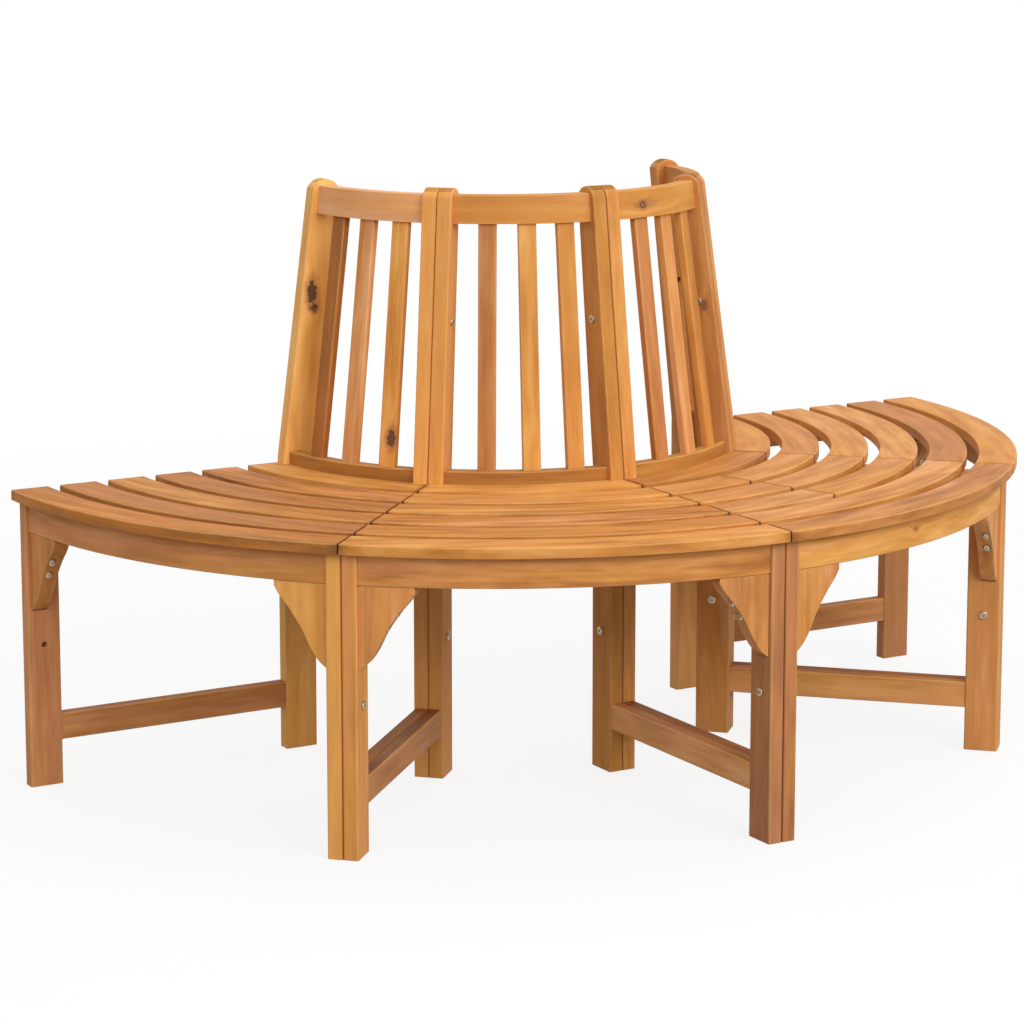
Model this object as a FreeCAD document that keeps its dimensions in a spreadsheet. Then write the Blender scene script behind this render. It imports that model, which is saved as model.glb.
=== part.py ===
"""Half-round tree bench in oiled hardwood: four bolted segments of 45 degrees each.

Millimetres, +Z up. The origin is on the ground under the centre of the bench's outline. The ring's
centre, where the tree stands, is half a seat radius behind it, at Y = ring_centre, and the seat faces
outward, with its front at -Y. Segments a to d run from -X to +X. Frame planes 0 to 4 stand upright on
radial lines between and beside the segments. In a frame plane, r is the distance from the ring's
centre and v is the distance square to the plane, towards the next frame.
"""
import FreeCAD, Part
import math
import os
import re

import Sketcher

Vector = FreeCAD.Vector
Rotation = FreeCAD.Rotation
Placement = FreeCAD.Placement

SEGMENTS = "abcd"
SLATS = 6
JOINTED_SLATS = ("c3", "c4", "c5")

# Driving dimensions: name, value, meaning
DIMENSIONS = (
    ("ring_centre", 400, "Y of the ring's centre"),
    ("first_angle", 180, "direction of frame plane 0, degrees"),
    ("segment_angle", 45, "angle of one segment, degrees"),
    ("seat_radius", 800, "outer radius of the seat"),
    ("seat_height", 438, "top of the seat slats"),
    ("slat_thickness", 15, "seat slats, vertical"),
    ("slat_width", 57, "seat slats, radial"),
    ("slat_gap", 18, "between seat slats"),
    ("slat_edge", 2, "rounding of the slats' top edges"),
    ("seam_gap", 0.5, "slat end to seam plane"),
    ("joint_angle", 18, "butt joint of the jointed slats, degrees from their left seam"),
    ("joint_gap", 0.6, "board end to joint plane"),
    ("notch_radius", 376.5, "post notch in the inner slat"),
    ("notch_depth", 22.5, "post notch, from the seam plane"),
    ("board", 22, "thickness of legs, posts and bearers"),
    ("leg_outer", 788, "outer face of the front legs"),
    ("leg_depth", 50, "front legs, radial"),
    ("leg_edge", 3, "rounding of the legs' upright edges"),
    ("post_front", 376, "front face of the posts below the bend"),
    ("post_bend", 446, "height where the posts start to lean"),
    ("post_back_foot", 325, "back face at the foot"),
    ("post_back_bend", 324, "back face at the bend"),
    ("post_front_top", 322.5, "front face under the crown"),
    ("post_back_top", 279, "back face under the crown"),
    ("post_shoulder", 846, "height where the crown starts"),
    ("post_height", 860, "top of the crown"),
    ("post_edge", 2, "rounding of the posts' edges"),
    ("stretcher_bottom", 65, "underside of the stretchers"),
    ("stretcher_depth", 39, "stretchers, vertical"),
    ("stretcher_board", 20, "thickness of the stretchers"),
    ("bearer_depth", 40, "seat bearers, vertical"),
    ("apron_outer", 784, "outer face of the aprons"),
    ("apron_board", 20, "thickness of the aprons"),
    ("apron_bottom", 379, "underside of the aprons"),
    ("bracket_outer", 782, "outer face of the brackets"),
    ("bracket_board", 24, "thickness of the brackets"),
    ("bracket_reach", 98, "tip of the brackets, from the seam plane"),
    ("bracket_lip", 371, "lower end of the tip"),
    ("bracket_foot", 262, "lower end at the leg"),
    ("lower_rail_outer", 367, "front face of the lower back rails"),
    ("lower_rail_bottom", 417, "underside of the lower back rails"),
    ("lower_rail_depth", 40, "lower back rails, vertical"),
    ("rail_board", 20, "thickness of the back rails"),
    ("rail_edge", 2, "rounding of the rails' edges"),
    ("top_rail_front", 318.7, "front face of the top rails at their underside"),
    ("top_rail_lean", 5.5, "backward lean over the rail's depth"),
    ("top_rail_bottom", 810, "underside of the top rails"),
    ("top_rail_depth", 41, "top rails, vertical"),
    ("back_slat_width", 26.5, "back slats, across"),
    ("back_slat_board", 12, "thickness of the back slats"),
    ("back_slat_step", 10.5, "angle between back slats, degrees"),
    ("back_slat_turn", 1.1, "how far the middle slat stands past the segment's middle, degrees"),
    ("back_slat_foot", 356, "centre of the slats on the lower rail"),
    ("back_slat_head", 307.7, "centre of the slats under the top rail"),
    ("bolt_bore", 4.1, "radius of the bores for the connector bolts"),
    ("leg_bolt_out", 763, "bore in the front legs, from the ring's centre"),
    ("leg_bolt_up", 210, "bore in the front legs, height"),
    ("foot_bolt_out", 349, "lower bore in the posts, from the ring's centre"),
    ("foot_bolt_up", 209, "lower bore in the posts, height"),
    ("post_bolt_out", 322, "upper bore in the posts, from the ring's centre"),
    ("post_bolt_up", 668.5, "upper bore in the posts, height"),
    ("screw_out", 770, "bracket screws, from the ring's centre"),
    ("upper_screw_up", 342, "upper bracket screw, height"),
    ("lower_screw_up", 321.5, "lower bracket screw, height"),
    ("upper_screw_seat", 72.5, "head seat of the upper screw, from the seam plane"),
    ("lower_screw_seat", 58.5, "head seat of the lower screw, from the seam plane"),
    ("screw_hole", 2.6, "radius of the holes for the bracket screws"),
    ("screw_recess", 6, "radius of the spot faces for the screw heads"),
    ("screw_grip", 14, "depth of the screw holes in the legs"),
)

# Curved edge of a bracket from its tip to the leg: distance from the seam plane, height
OGEE = ((98, 371), (92, 360), (77, 343), (58, 315), (45, 287), (33, 270), (22, 262))

doc = FreeCAD.newDocument("tree_bench")
sheet = doc.addObject("Spreadsheet::Sheet", "Dimensions")
for row, (alias, number, meaning) in enumerate(DIMENSIONS, start=1):
    sheet.set("A%d" % row, alias)
    sheet.set("B%d" % row, str(number))
    sheet.setAlias("B%d" % row, alias)
    sheet.set("C%d" % row, meaning)
doc.recompute()
ALIASES = {alias for alias, _, _ in DIMENSIONS}
probe = doc.addObject("App::FeaturePython", "Probe")
cuts = []
nodes = []


def bound(text):
    """Return an expression in which every dimension's name points at the sheet."""
    return re.sub(r"[a-z_]+", lambda m: "Dimensions." + m.group() if m.group() in ALIASES else m.group(), str(text))


def value(text):
    """Return the number that an expression of the dimensions gives."""
    return float(probe.evalExpression(bound(text)))


def set_size(item, name, text):
    """Bind one property of an object to an expression of the dimensions."""
    setattr(item, name, value(text))
    item.setExpression(name, bound(text))


def place(item, angle):
    """Put an object at the ring's centre, turned by an angle about the vertical."""
    item.Placement = Placement(Vector(0, value("ring_centre"), 0), Rotation(Vector(0, 0, 1), value(angle)))
    item.setExpression("Placement.Base.y", bound("ring_centre"))
    item.setExpression("Placement.Rotation.Angle", bound(angle))


def frame_angle(index):
    """Return the direction of a frame plane as an expression."""
    return "first_angle + segment_angle * %d" % index


def new_body(label, angle):
    """Start a body at the ring's centre, turned to an angle."""
    body = doc.addObject("PartDesign::Body", label)
    body.Label = label
    place(body, angle)
    return body


def new_sketch(body, role, offset="0"):
    """Start a sketch on one of the body's origin planes, moved along the plane's normal."""
    sketch = body.newObject("Sketcher::SketchObject", body.Name + "_sketch")
    plane = [item for item in body.Origin.OriginFeatures if item.Role == role][0]
    sketch.AttachmentSupport = [(plane, "")]
    sketch.MapMode = "FlatFace"
    if value(offset):
        sketch.AttachmentOffset = Placement(Vector(0, 0, value(offset)), Rotation())
        sketch.setExpression("AttachmentOffset.Base.z", bound(offset))
    return sketch


def datum(sketch, kind, places, text):
    """Add a dimension to a sketch and bind it to an expression."""
    number = math.radians(value(text)) if kind == "Angle" else value(text)
    index = sketch.addConstraint(Sketcher.Constraint(kind, *places, number))
    sketch.renameConstraint(index, "%s_%d" % (kind.lower(), index))
    sketch.setExpression("Constraints[%d]" % index, bound(text))


def tie(sketch, geometry, point, x_text, y_text):
    """Fix one point of a sketch at coordinates given as expressions."""
    for kind, text, axis in (("DistanceX", x_text, -2), ("DistanceY", y_text, -1)):
        number = value(text)
        if abs(number) < 1e-9:
            sketch.addConstraint(Sketcher.Constraint("PointOnObject", geometry, point, axis))
        elif number > 0:
            datum(sketch, kind, (-1, 1, geometry, point), text)
        else:
            datum(sketch, kind, (geometry, point, -1, 1), "-(%s)" % text)


def join_ends(sketch, pieces):
    """Join the end of each piece of an outline to the start of the next."""
    for here, after in zip(pieces, pieces[1:] + pieces[:1]):
        sketch.addConstraint(Sketcher.Constraint("Coincident", here[0], here[2], after[0], after[1]))


def polygon(sketch, points):
    """Draw a closed polygon whose corners are pairs of expressions."""
    spots = [Vector(value(x), value(y), 0) for x, y in points]
    pieces = []
    for start, end in zip(spots, spots[1:] + spots[:1]):
        pieces.append((sketch.addGeometry(Part.LineSegment(start, end), False), 1, 2))
    join_ends(sketch, pieces)
    for (line, _, _), (x, y) in zip(pieces, points):
        tie(sketch, line, 1, x, y)
    return pieces


def circles(sketch, places, radius):
    """Draw one circle for each pair of expressions."""
    for x, y in places:
        spot = Vector(value(x), value(y), 0)
        ring = sketch.addGeometry(Part.Circle(spot, Vector(0, 0, 1), value(radius)), False)
        tie(sketch, ring, 3, x, y)
        datum(sketch, "Radius", (ring,), radius)


def polar(radius, angle, gap):
    """Return the point at a radius on a line beside a radial line, offset by a gap."""
    turn = math.radians(angle)
    along = math.sqrt(radius * radius - gap * gap)
    return Vector(along * math.cos(turn) - gap * math.sin(turn), along * math.sin(turn) + gap * math.cos(turn), 0)


def end_line(sketch, start, end, angle, gap):
    """Draw a straight board end, parallel to a radial line at a gap from it."""
    line = sketch.addGeometry(Part.LineSegment(start, end), False)
    if value(angle):
        outward = end.Length > start.Length
        datum(sketch, "Angle", (line,), angle if outward else "%s - 180" % angle)
    else:
        sketch.addConstraint(Sketcher.Constraint("Horizontal", line))
    datum(sketch, "Distance", (-1, 1, line), gap)
    return line


def sector(sketch, inner, outer, ends, notched=(False, False)):
    """Draw a curved board in plan: two arcs about the ring's centre and two ends.

    Each end is a pair, angle and gap; a notched end steps round a post at its inner corner.
    """
    (low, low_gap), (high, high_gap) = ends
    r_in, r_out, r_notch, deep = value(inner), value(outer), value("notch_radius"), value("notch_depth")
    a, b, ga, gb = value(low), value(high), value(low_gap), value(high_gap)
    low_inner = polar(r_in, a, deep if notched[0] else ga)
    high_inner = polar(r_in, b, -deep if notched[1] else -gb)
    low_outer, high_outer = polar(r_out, a, ga), polar(r_out, b, -gb)

    def arc(radius, start, end, text):
        first, last = (math.atan2(p.y, p.x) for p in (start, end))
        circle = Part.Circle(Vector(), Vector(0, 0, 1), radius)
        index = sketch.addGeometry(Part.ArcOfCircle(circle, first, last), False)
        sketch.addConstraint(Sketcher.Constraint("Coincident", index, 3, -1, 1))
        datum(sketch, "Radius", (index,), text)
        return index

    def notch(angle, gap, side):
        turn = math.radians(angle)
        along = Vector(math.cos(turn), math.sin(turn), 0)
        across = Vector(-math.sin(turn), math.cos(turn), 0)
        return along * r_notch + across * (side * gap)

    pieces = []
    if notched[0]:
        step_in, step_out = notch(a, deep, 1), notch(a, ga, 1)
        side = end_line(sketch, low_inner, step_in, low, "notch_depth")
        step = sketch.addGeometry(Part.LineSegment(step_in, step_out), False)
        datum(sketch, "Distance", (-1, 1, step), "notch_radius")
        pieces += [(side, 1, 2), (step, 1, 2)]
        rest = end_line(sketch, step_out, low_outer, low, low_gap)
        sketch.addConstraint(Sketcher.Constraint("Perpendicular", step, rest))
        pieces.append((rest, 1, 2))
    else:
        pieces.append((end_line(sketch, low_inner, low_outer, low, low_gap), 1, 2))
    pieces.append((arc(r_out, low_outer, high_outer, outer), 1, 2))
    if notched[1]:
        step_in, step_out = notch(b, deep, -1), notch(b, gb, -1)
        rest = end_line(sketch, high_outer, step_out, high, high_gap)
        step = sketch.addGeometry(Part.LineSegment(step_out, step_in), False)
        datum(sketch, "Distance", (-1, 1, step), "notch_radius")
        sketch.addConstraint(Sketcher.Constraint("Perpendicular", step, rest))
        side = end_line(sketch, step_in, high_inner, high, "notch_depth")
        pieces += [(rest, 1, 2), (step, 1, 2), (side, 1, 2)]
    else:
        pieces.append((end_line(sketch, high_outer, high_inner, high, high_gap), 1, 2))
    pieces.append((arc(r_in, low_inner, high_inner, inner), 2, 1))
    join_ends(sketch, pieces)


def pad(body, sketch, length, away=False, centred=False):
    """Pad a sketch; away pads against the sketch's normal, centred to both sides."""
    feature = body.newObject("PartDesign::Pad", body.Name + "_pad")
    feature.Profile = (sketch, [""])
    set_size(feature, "Length", length)
    feature.Reversed = away
    feature.Midplane = centred
    body.Tip = feature
    doc.recompute()
    return feature


def pocket(body, sketch, depth=None, away=False):
    """Cut a sketch's outlines out of a body, to a depth or right through."""
    before = body.Shape.Volume
    feature = body.newObject("PartDesign::Pocket", body.Name + "_pocket")
    feature.Profile = (sketch, [""])
    if depth is None:
        feature.Type = "ThroughAll"
        feature.Midplane = True
    else:
        feature.Type = "Length"
        set_size(feature, "Length", depth)
        feature.Reversed = away
    body.Tip = feature
    doc.recompute()
    cuts.append((feature.Name, before - body.Shape.Volume))


def ease(body, radius, wanted):
    """Round the edges of a body that a test picks."""
    base = body.Tip
    names = ["Edge%d" % i for i, edge in enumerate(base.Shape.Edges, start=1) if wanted(edge.BoundBox)]
    feature = body.newObject("PartDesign::Fillet", body.Name + "_fillet")
    feature.Base = (base, names)
    set_size(feature, "Radius", radius)
    body.Tip = feature
    doc.recompute()


def keep(item, label=None):
    """List an object as a finished sub-part."""
    if label:
        item.Label = label
    nodes.append(item)


def group(label, items):
    """Collect alike pieces, each still a solid of its own, in one sub-part."""
    compound = doc.addObject("Part::Compound", label)
    compound.Links = items
    keep(compound, label)


# Seat slats: six curved boards per segment, numbered from the outside in
for s, letter in enumerate(SEGMENTS):
    for n in range(1, SLATS + 1):
        name = "%s%d" % (letter, n)
        outer = "seat_radius - (slat_width + slat_gap) * %d" % (n - 1)
        inner = outer + " - slat_width"
        slat = new_body("seat_slat_" + name, frame_angle(s))
        plan = new_sketch(slat, "XY_Plane", "seat_height - slat_thickness")
        inmost = n == SLATS
        seams = (("0", "seam_gap"), ("segment_angle", "seam_gap"))
        if name in JOINTED_SLATS:
            sector(plan, inner, outer, (seams[0], ("joint_angle", "joint_gap")))
            sector(plan, inner, outer, (("joint_angle", "joint_gap"), seams[1]))
        else:
            sector(plan, inner, outer, seams, (inmost, inmost))
        pad(slat, plan, "slat_thickness")
        top = value("seat_height")
        ease(slat, "slat_edge", lambda box: box.ZMin > top - 1)
        keep(slat)

# Aprons: one curved board under the seat edge, between the legs of each segment
for s, letter in enumerate(SEGMENTS):
    apron = new_body("apron_" + letter, frame_angle(s))
    plan = new_sketch(apron, "XY_Plane", "apron_bottom")
    sides = (("0", "board"), ("segment_angle", "board"))
    sector(plan, "apron_outer - apron_board", "apron_outer", sides)
    pad(apron, plan, "seat_height - slat_thickness - apron_bottom")
    low = value("apron_bottom")
    ease(apron, "rail_edge", lambda box: box.ZMax < low + 1 and box.DiagonalLength > 100)
    keep(apron)

# Frame sides: every segment has a left and a right one, board faces meeting at the seam
stretchers, bearers = [], []
for s, letter in enumerate(SEGMENTS):
    for side, index in (("left", s), ("right", s + 1)):
        left = side == "left"
        angle = frame_angle(index)

        leg = new_body("front_leg_%s_%s" % (letter, side), angle)
        face = new_sketch(leg, "XZ_Plane")
        leg_top = "seat_height - slat_thickness"
        polygon(face, (("leg_outer - leg_depth", "0"), ("leg_outer", "0"),
                       ("leg_outer", leg_top), ("leg_outer - leg_depth", leg_top)))
        pad(leg, face, "board", away=left)
        ease(leg, "leg_edge", lambda box: box.ZLength > 300)
        bore = new_sketch(leg, "XZ_Plane")
        circles(bore, (("leg_bolt_out", "leg_bolt_up"),), "bolt_bore")
        pocket(leg, bore)
        holes = new_sketch(leg, "XZ_Plane", "-board" if left else "board")
        circles(holes, (("screw_out", "upper_screw_up"), ("screw_out", "lower_screw_up")), "screw_hole")
        pocket(leg, holes, "screw_grip", away=left)
        keep(leg)

        post = new_body("rear_post_%s_%s" % (letter, side), angle)
        face = new_sketch(post, "XZ_Plane")
        corners = (("post_back_foot", "0"), ("post_front", "0"), ("post_front", "post_bend"),
                   ("post_front_top", "post_shoulder"), ("post_back_top", "post_shoulder"),
                   ("post_back_bend", "post_bend"))
        spots = [Vector(value(x), value(y), 0) for x, y in corners]
        crown = Part.Arc(spots[3], Vector(value("(post_front_top + post_back_top) / 2"), value("post_height"), 0),
                         spots[4])
        pieces = []
        for k, spot in enumerate(spots):
            curve = crown if k == 3 else Part.LineSegment(spot, spots[(k + 1) % 6])
            pieces.append((face.addGeometry(curve, False), 1, 2))
        join_ends(face, pieces)
        for (piece, start, _), (x, y) in zip(pieces, corners):
            tie(face, piece, start, x, y)
        half, rise = "(post_front_top - post_back_top) / 2", "(post_height - post_shoulder)"
        datum(face, "Radius", (pieces[3][0],), "((%s) ^ 2 + %s ^ 2) / (2 * %s)" % (half, rise, rise))
        pad(post, face, "board", away=left)
        ease(post, "post_edge", lambda box: box.ZLength > 10 and box.YLength < 0.1)
        bore = new_sketch(post, "XZ_Plane")
        circles(bore, (("foot_bolt_out", "foot_bolt_up"), ("post_bolt_out", "post_bolt_up")), "bolt_bore")
        pocket(post, bore)
        keep(post)

        near, far = "post_front", "leg_outer - leg_depth"
        for label, low, high, thick, shelf in (
                ("stretcher", "stretcher_bottom", "stretcher_bottom + stretcher_depth", "stretcher_board",
                 stretchers),
                ("bearer", leg_top + " - bearer_depth", leg_top, "board", bearers)):
            rail = new_body("%s_%s_%s" % (label, letter, side), angle)
            face = new_sketch(rail, "XZ_Plane")
            polygon(face, ((near, low), (far, low), (far, high), (near, high)))
            pad(rail, face, thick, away=left)
            ease(rail, "rail_edge", lambda box: box.XLength > 300 and box.YLength < 0.1)
            shelf.append(rail)
group("stretchers", stretchers)
group("seat_bearers", bearers)

# Brackets: ogee boards that follow the apron's curve, in the corner of leg and apron
shell_outer = doc.addObject("Part::Cylinder", "bracket_shell_outer")
shell_inner = doc.addObject("Part::Cylinder", "bracket_shell_inner")
for cylinder, radius in ((shell_outer, "bracket_outer"), (shell_inner, "bracket_outer - bracket_board")):
    set_size(cylinder, "Radius", radius)
    set_size(cylinder, "Height", "apron_bottom")
    place(cylinder, "0")
shell = doc.addObject("Part::Cut", "bracket_shell")
shell.Base, shell.Tool = shell_outer, shell_inner
for side in ("left", "right"):
    left = side == "left"
    sign = "" if left else "-"
    blanks = []
    for s, letter in enumerate(SEGMENTS):
        blank = new_body("bracket_%s_%s" % (letter, side), frame_angle(s if left else s + 1))
        face = new_sketch(blank, "YZ_Plane", "bracket_outer - 2 * bracket_board")
        flip = 1 if left else -1
        curve = Part.BSplineCurve()
        curve.interpolate([Vector(flip * v, z, 0) for v, z in OGEE])
        corners = ((sign + "bracket_reach", "bracket_lip"), (sign + "board", "bracket_foot"),
                   (sign + "board", "apron_bottom"), (sign + "bracket_reach", "apron_bottom"))
        spots = [Vector(value(x), value(y), 0) for x, y in corners]
        pieces = [(face.addGeometry(curve, False), 1, 2)]
        for start, end in zip(spots[1:], spots[2:] + spots[:1]):
            pieces.append((face.addGeometry(Part.LineSegment(start, end), False), 1, 2))
        join_ends(face, pieces)
        for (piece, start, _), (x, y) in zip(pieces, corners):
            tie(face, piece, start, x, y)
        pad(blank, face, "3 * bracket_board")
        for height, seat in (("upper_screw_up", "upper_screw_seat"), ("lower_screw_up", "lower_screw_seat")):
            hole = new_sketch(blank, "XZ_Plane", ("-" if left else "") + seat)
            circles(hole, (("screw_out", height),), "screw_recess")
            pocket(blank, hole, "bracket_reach", away=not left)
            hole = new_sketch(blank, "XZ_Plane")
            circles(hole, (("screw_out", height),), "screw_hole")
            pocket(blank, hole)
        fitted = doc.addObject("Part::Common", "bracket_%s_%s_fitted" % (letter, side))
        fitted.Base, fitted.Tool = blank, shell
        blanks.append(fitted)
    group("brackets_" + side, blanks)

# Lower back rails: upright curved boards behind the inner slats, between the posts
for s, letter in enumerate(SEGMENTS):
    rail = new_body("lower_back_rail_" + letter, frame_angle(s))
    plan = new_sketch(rail, "XY_Plane", "lower_rail_bottom")
    sector(plan, "lower_rail_outer - rail_board", "lower_rail_outer", (("0", "board"), ("segment_angle", "board")))
    pad(rail, plan, "lower_rail_depth")
    top = value("lower_rail_bottom + lower_rail_depth")
    ease(rail, "rail_edge", lambda box: box.ZMin > top - 1 and box.DiagonalLength > 100)
    keep(rail)

# Top rails: turned to lean with the posts, then cut to the space between the posts
for s, letter in enumerate(SEGMENTS):
    blank = new_body("top_rail_blank_" + letter, frame_angle(s))
    section = new_sketch(blank, "XZ_Plane")
    low, high = "top_rail_bottom", "top_rail_bottom + top_rail_depth"
    polygon(section, (("top_rail_front - rail_board", low), ("top_rail_front", low),
                      ("top_rail_front - top_rail_lean", high),
                      ("top_rail_front - rail_board - top_rail_lean", high)))
    turned = blank.newObject("PartDesign::Revolution", blank.Name + "_turned")
    turned.Profile = (section, [""])
    turned.ReferenceAxis = (section, ["V_Axis"])
    set_size(turned, "Angle", "segment_angle")
    blank.Tip = turned
    doc.recompute()
    top = value(high)
    ease(blank, "rail_edge", lambda box: box.ZMin > top - 1 and box.DiagonalLength > 100)

    bay = new_body("bay_" + letter, frame_angle(s))
    plan = new_sketch(bay, "XY_Plane", "top_rail_bottom - rail_board")
    sector(plan, "top_rail_front / 2", "post_front", (("0", "board"), ("segment_angle", "board")))
    pad(bay, plan, "2 * top_rail_depth")
    rail = doc.addObject("Part::Common", "top_rail_" + letter)
    rail.Base, rail.Tool = blank, bay
    keep(rail, "top_rail_" + letter)

# Back slats: three flat boards per segment, from the lower rail up to the top rail
back_slats = []
for s, letter in enumerate(SEGMENTS):
    for k in (-1, 0, 1):
        angle = "first_angle + segment_angle * %s + back_slat_turn + back_slat_step * %d" % (s + 0.5, k)
        slat = new_body("back_slat_%s_%d" % (letter, k + 2), angle)
        face = new_sketch(slat, "XZ_Plane")
        low, high = "lower_rail_bottom + lower_rail_depth", "top_rail_bottom"
        polygon(face, (("back_slat_foot - back_slat_board / 2", low), ("back_slat_foot + back_slat_board / 2", low),
                       ("back_slat_head + back_slat_board / 2", high),
                       ("back_slat_head - back_slat_board / 2", high)))
        pad(slat, face, "back_slat_width", centred=True)
        ease(slat, "slat_edge", lambda box: box.ZLength > 100)
        back_slats.append(slat)
group("back_slats", back_slats)


def button(radius, height, socket):
    """Return a domed head on the plane Z = 0, pointing to +Z, with a hexagon socket."""
    head = Part.makeCylinder(radius, height)
    rim = [edge for edge in head.Edges if edge.BoundBox.ZMin > height - 0.01]
    head = head.makeFillet(height * 0.6, rim)
    corners = [Vector(socket / 2 / math.cos(math.pi / 6), 0, height - 2)]
    corners = [Rotation(Vector(0, 0, 1), 60 * k).multVec(corners[0]) for k in range(7)]
    return head.cut(Part.Face(Part.makePolygon(corners)).extrude(Vector(0, 0, height)))


def stand(shape, index, out, up, along, facing):
    """Return a copy with its +Z turned along +v or -v, in a frame plane at r, height and v."""
    copy = shape.copy()
    copy.Placement = Placement(Vector(out, along, up), Rotation(Vector(1, 0, 0), -90 * facing))
    turn = Placement(Vector(0, value("ring_centre"), 0), Rotation(Vector(0, 0, 1), value(frame_angle(index))))
    copy.Placement = turn * copy.Placement
    return copy


def fastener(label, shapes):
    """Keep a set of like fasteners as one sub-part."""
    feature = doc.addObject("Part::Feature", label)
    feature.Shape = Part.makeCompound(shapes)
    feature.Placement = Placement()
    keep(feature, label)


# Bracket screws: domed heads on spot faces of the brackets' curved edge, driven into the legs
screws = []
for s in range(len(SEGMENTS)):
    for index, facing in ((s, 1), (s + 1, -1)):
        for height, seat in (("upper_screw_up", "upper_screw_seat"), ("lower_screw_up", "lower_screw_seat")):
            reach = value(seat) - value("board") + value("screw_grip") - 0.5
            screw = button(5.5, 4, 4).fuse(Part.makeCylinder(value("screw_hole") - 0.1, reach, Vector(0, 0, -reach)))
            screws.append(stand(screw, index, value("screw_out"), value(height), facing * value(seat), facing))
fastener("bracket_screws", screws)

# Connector bolts and sleeve nuts: three pairs through the doubled boards of frame planes 1 to 3
board = value("board")
barrel = value("bolt_bore") - 0.1
sleeve = Part.makeCylinder(barrel, 32, Vector(0, 0, -32)).cut(Part.makeCylinder(3, 28, Vector(0, 0, -32)))
nut = button(6.5, 3, 4).fuse(sleeve)
bolt = button(6.5, 3, 4).fuse(Part.makeCylinder(2.9, 36, Vector(0, 0, -36)))
bolts, nuts = [], []
for index in (1, 2, 3):
    for out, up in (("leg_bolt_out", "leg_bolt_up"), ("foot_bolt_out", "foot_bolt_up"),
                    ("post_bolt_out", "post_bolt_up")):
        bolts.append(stand(bolt, index, value(out), value(up), board, 1))
        nuts.append(stand(nut, index, value(out), value(up), -board, -1))
fastener("connector_bolts", bolts)
fastener("connector_sleeve_nuts", nuts)

doc.removeObject(probe.Name)
doc.recompute()
for item in doc.Objects:
    if "Invalid" in item.State or "Error" in item.State:
        raise RuntimeError("%s failed: %s" % (item.Label, item.State))
for name, removed in cuts:
    if removed <= 1:
        raise RuntimeError("%s cuts nothing" % name)
os.makedirs("parts", exist_ok=True)
for item in nodes:
    shape = item.Shape
    if shape.isNull() or not shape.isValid() or not shape.Solids:
        raise RuntimeError("%s has no valid shape" % item.Label)
    shape.exportStep("parts/%s.step" % item.Label)
box = Part.makeCompound([item.Shape for item in nodes]).BoundBox
print("%d sub-parts, box %.2f..%.2f, %.2f..%.2f, %.2f..%.2f mm" % (
    len(nodes), box.XMin, box.XMax, box.YMin, box.YMax, box.ZMin, box.ZMax))
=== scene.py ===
"""Half-round tree bench in oiled hardwood: four segments of curved boards on five doubled frames.

Metres, +Z up. The tree stands at the ring's centre, 0.4 m behind the middle of the bench's outline, and
the seat faces outwards. Segments a to d run from -X to +X. In a frame plane, r is the distance from
the ring's centre and v is the distance square to the plane, towards the next frame.
"""

import logging
import math
import random
from dataclasses import dataclass, field
from enum import Enum
from typing import Callable, Iterable, Mapping, Sequence

import bmesh
import bpy
from bmesh.types import BMEdge, BMesh, BMFace, BMLayerItem, BMVert
from bpy.types import ID, Material, Mesh, NodeSocket, Object, World
from mathutils import Matrix, Vector


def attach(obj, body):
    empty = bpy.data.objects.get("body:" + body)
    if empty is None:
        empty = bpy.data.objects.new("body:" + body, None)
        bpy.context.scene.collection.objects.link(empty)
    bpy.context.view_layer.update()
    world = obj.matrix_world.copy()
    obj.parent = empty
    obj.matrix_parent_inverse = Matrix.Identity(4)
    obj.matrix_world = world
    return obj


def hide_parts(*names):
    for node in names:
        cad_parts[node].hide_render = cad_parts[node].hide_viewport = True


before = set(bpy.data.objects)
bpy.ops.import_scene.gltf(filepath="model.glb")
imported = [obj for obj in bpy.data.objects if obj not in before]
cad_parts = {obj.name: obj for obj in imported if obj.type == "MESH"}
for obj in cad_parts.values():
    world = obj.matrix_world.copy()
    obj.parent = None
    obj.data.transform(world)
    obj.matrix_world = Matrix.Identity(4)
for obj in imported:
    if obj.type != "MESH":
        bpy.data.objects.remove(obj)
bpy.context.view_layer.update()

log = logging.getLogger("tree_bench")

Point = tuple[float, float, float]
Rgb = tuple[float, float, float]
Spot = tuple[float, float]
SEGMENTS = "abcd"
OUT, ROUND, UP = (1, 0, 0), (0, 1, 0), (0, 0, 1)
WHITE: Rgb = (1.0, 1.0, 1.0)

# Thickness of the legs, posts and bearers, and easing of edges that have no larger rounding
THICK, ARRIS = 0.022, 0.0006
# Points this close are one, places this close are level, and a long board's edges are longer than LONG
MERGE, NEAR, LONG = 1e-6, 1e-4, 0.3
# Edges that turn more than SHARP are eased. Faces this square to the fibres show end grain
SHARP, END_GRAIN = math.radians(35), 0.8


class Side(Enum):
    """The two frame sides of a segment, and the way each one's board lies from its frame plane."""

    LEFT = 1
    RIGHT = -1

    @property
    def word(self) -> str:
        """Name of the side as the sub-parts have it."""
        return self.name.lower()


class Sawing(Enum):
    """How a board was taken from its log, which decides the figure on its faces."""

    FLAT = "flat"
    QUARTER = "quarter"


@dataclass(frozen=True)
class Ring:
    """The circle that the bench is laid out on."""

    centre: Point = (0.0, 0.4, 0.0)
    first: float = math.radians(180)
    segment: float = math.radians(45)

    def plane(self, index: float) -> Matrix:
        """Give the placement of a frame plane, or of a line between two.

        Args:
            index: 0 to 4 for the frame planes; a half is the middle of a segment.

        Returns:
            A matrix whose X points outwards along r and whose Y points along v.
        """
        turn = Matrix.Rotation(self.first + self.segment * index, 4, "Z")
        return Matrix.Translation(self.centre) @ turn


RING = Ring()


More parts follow.
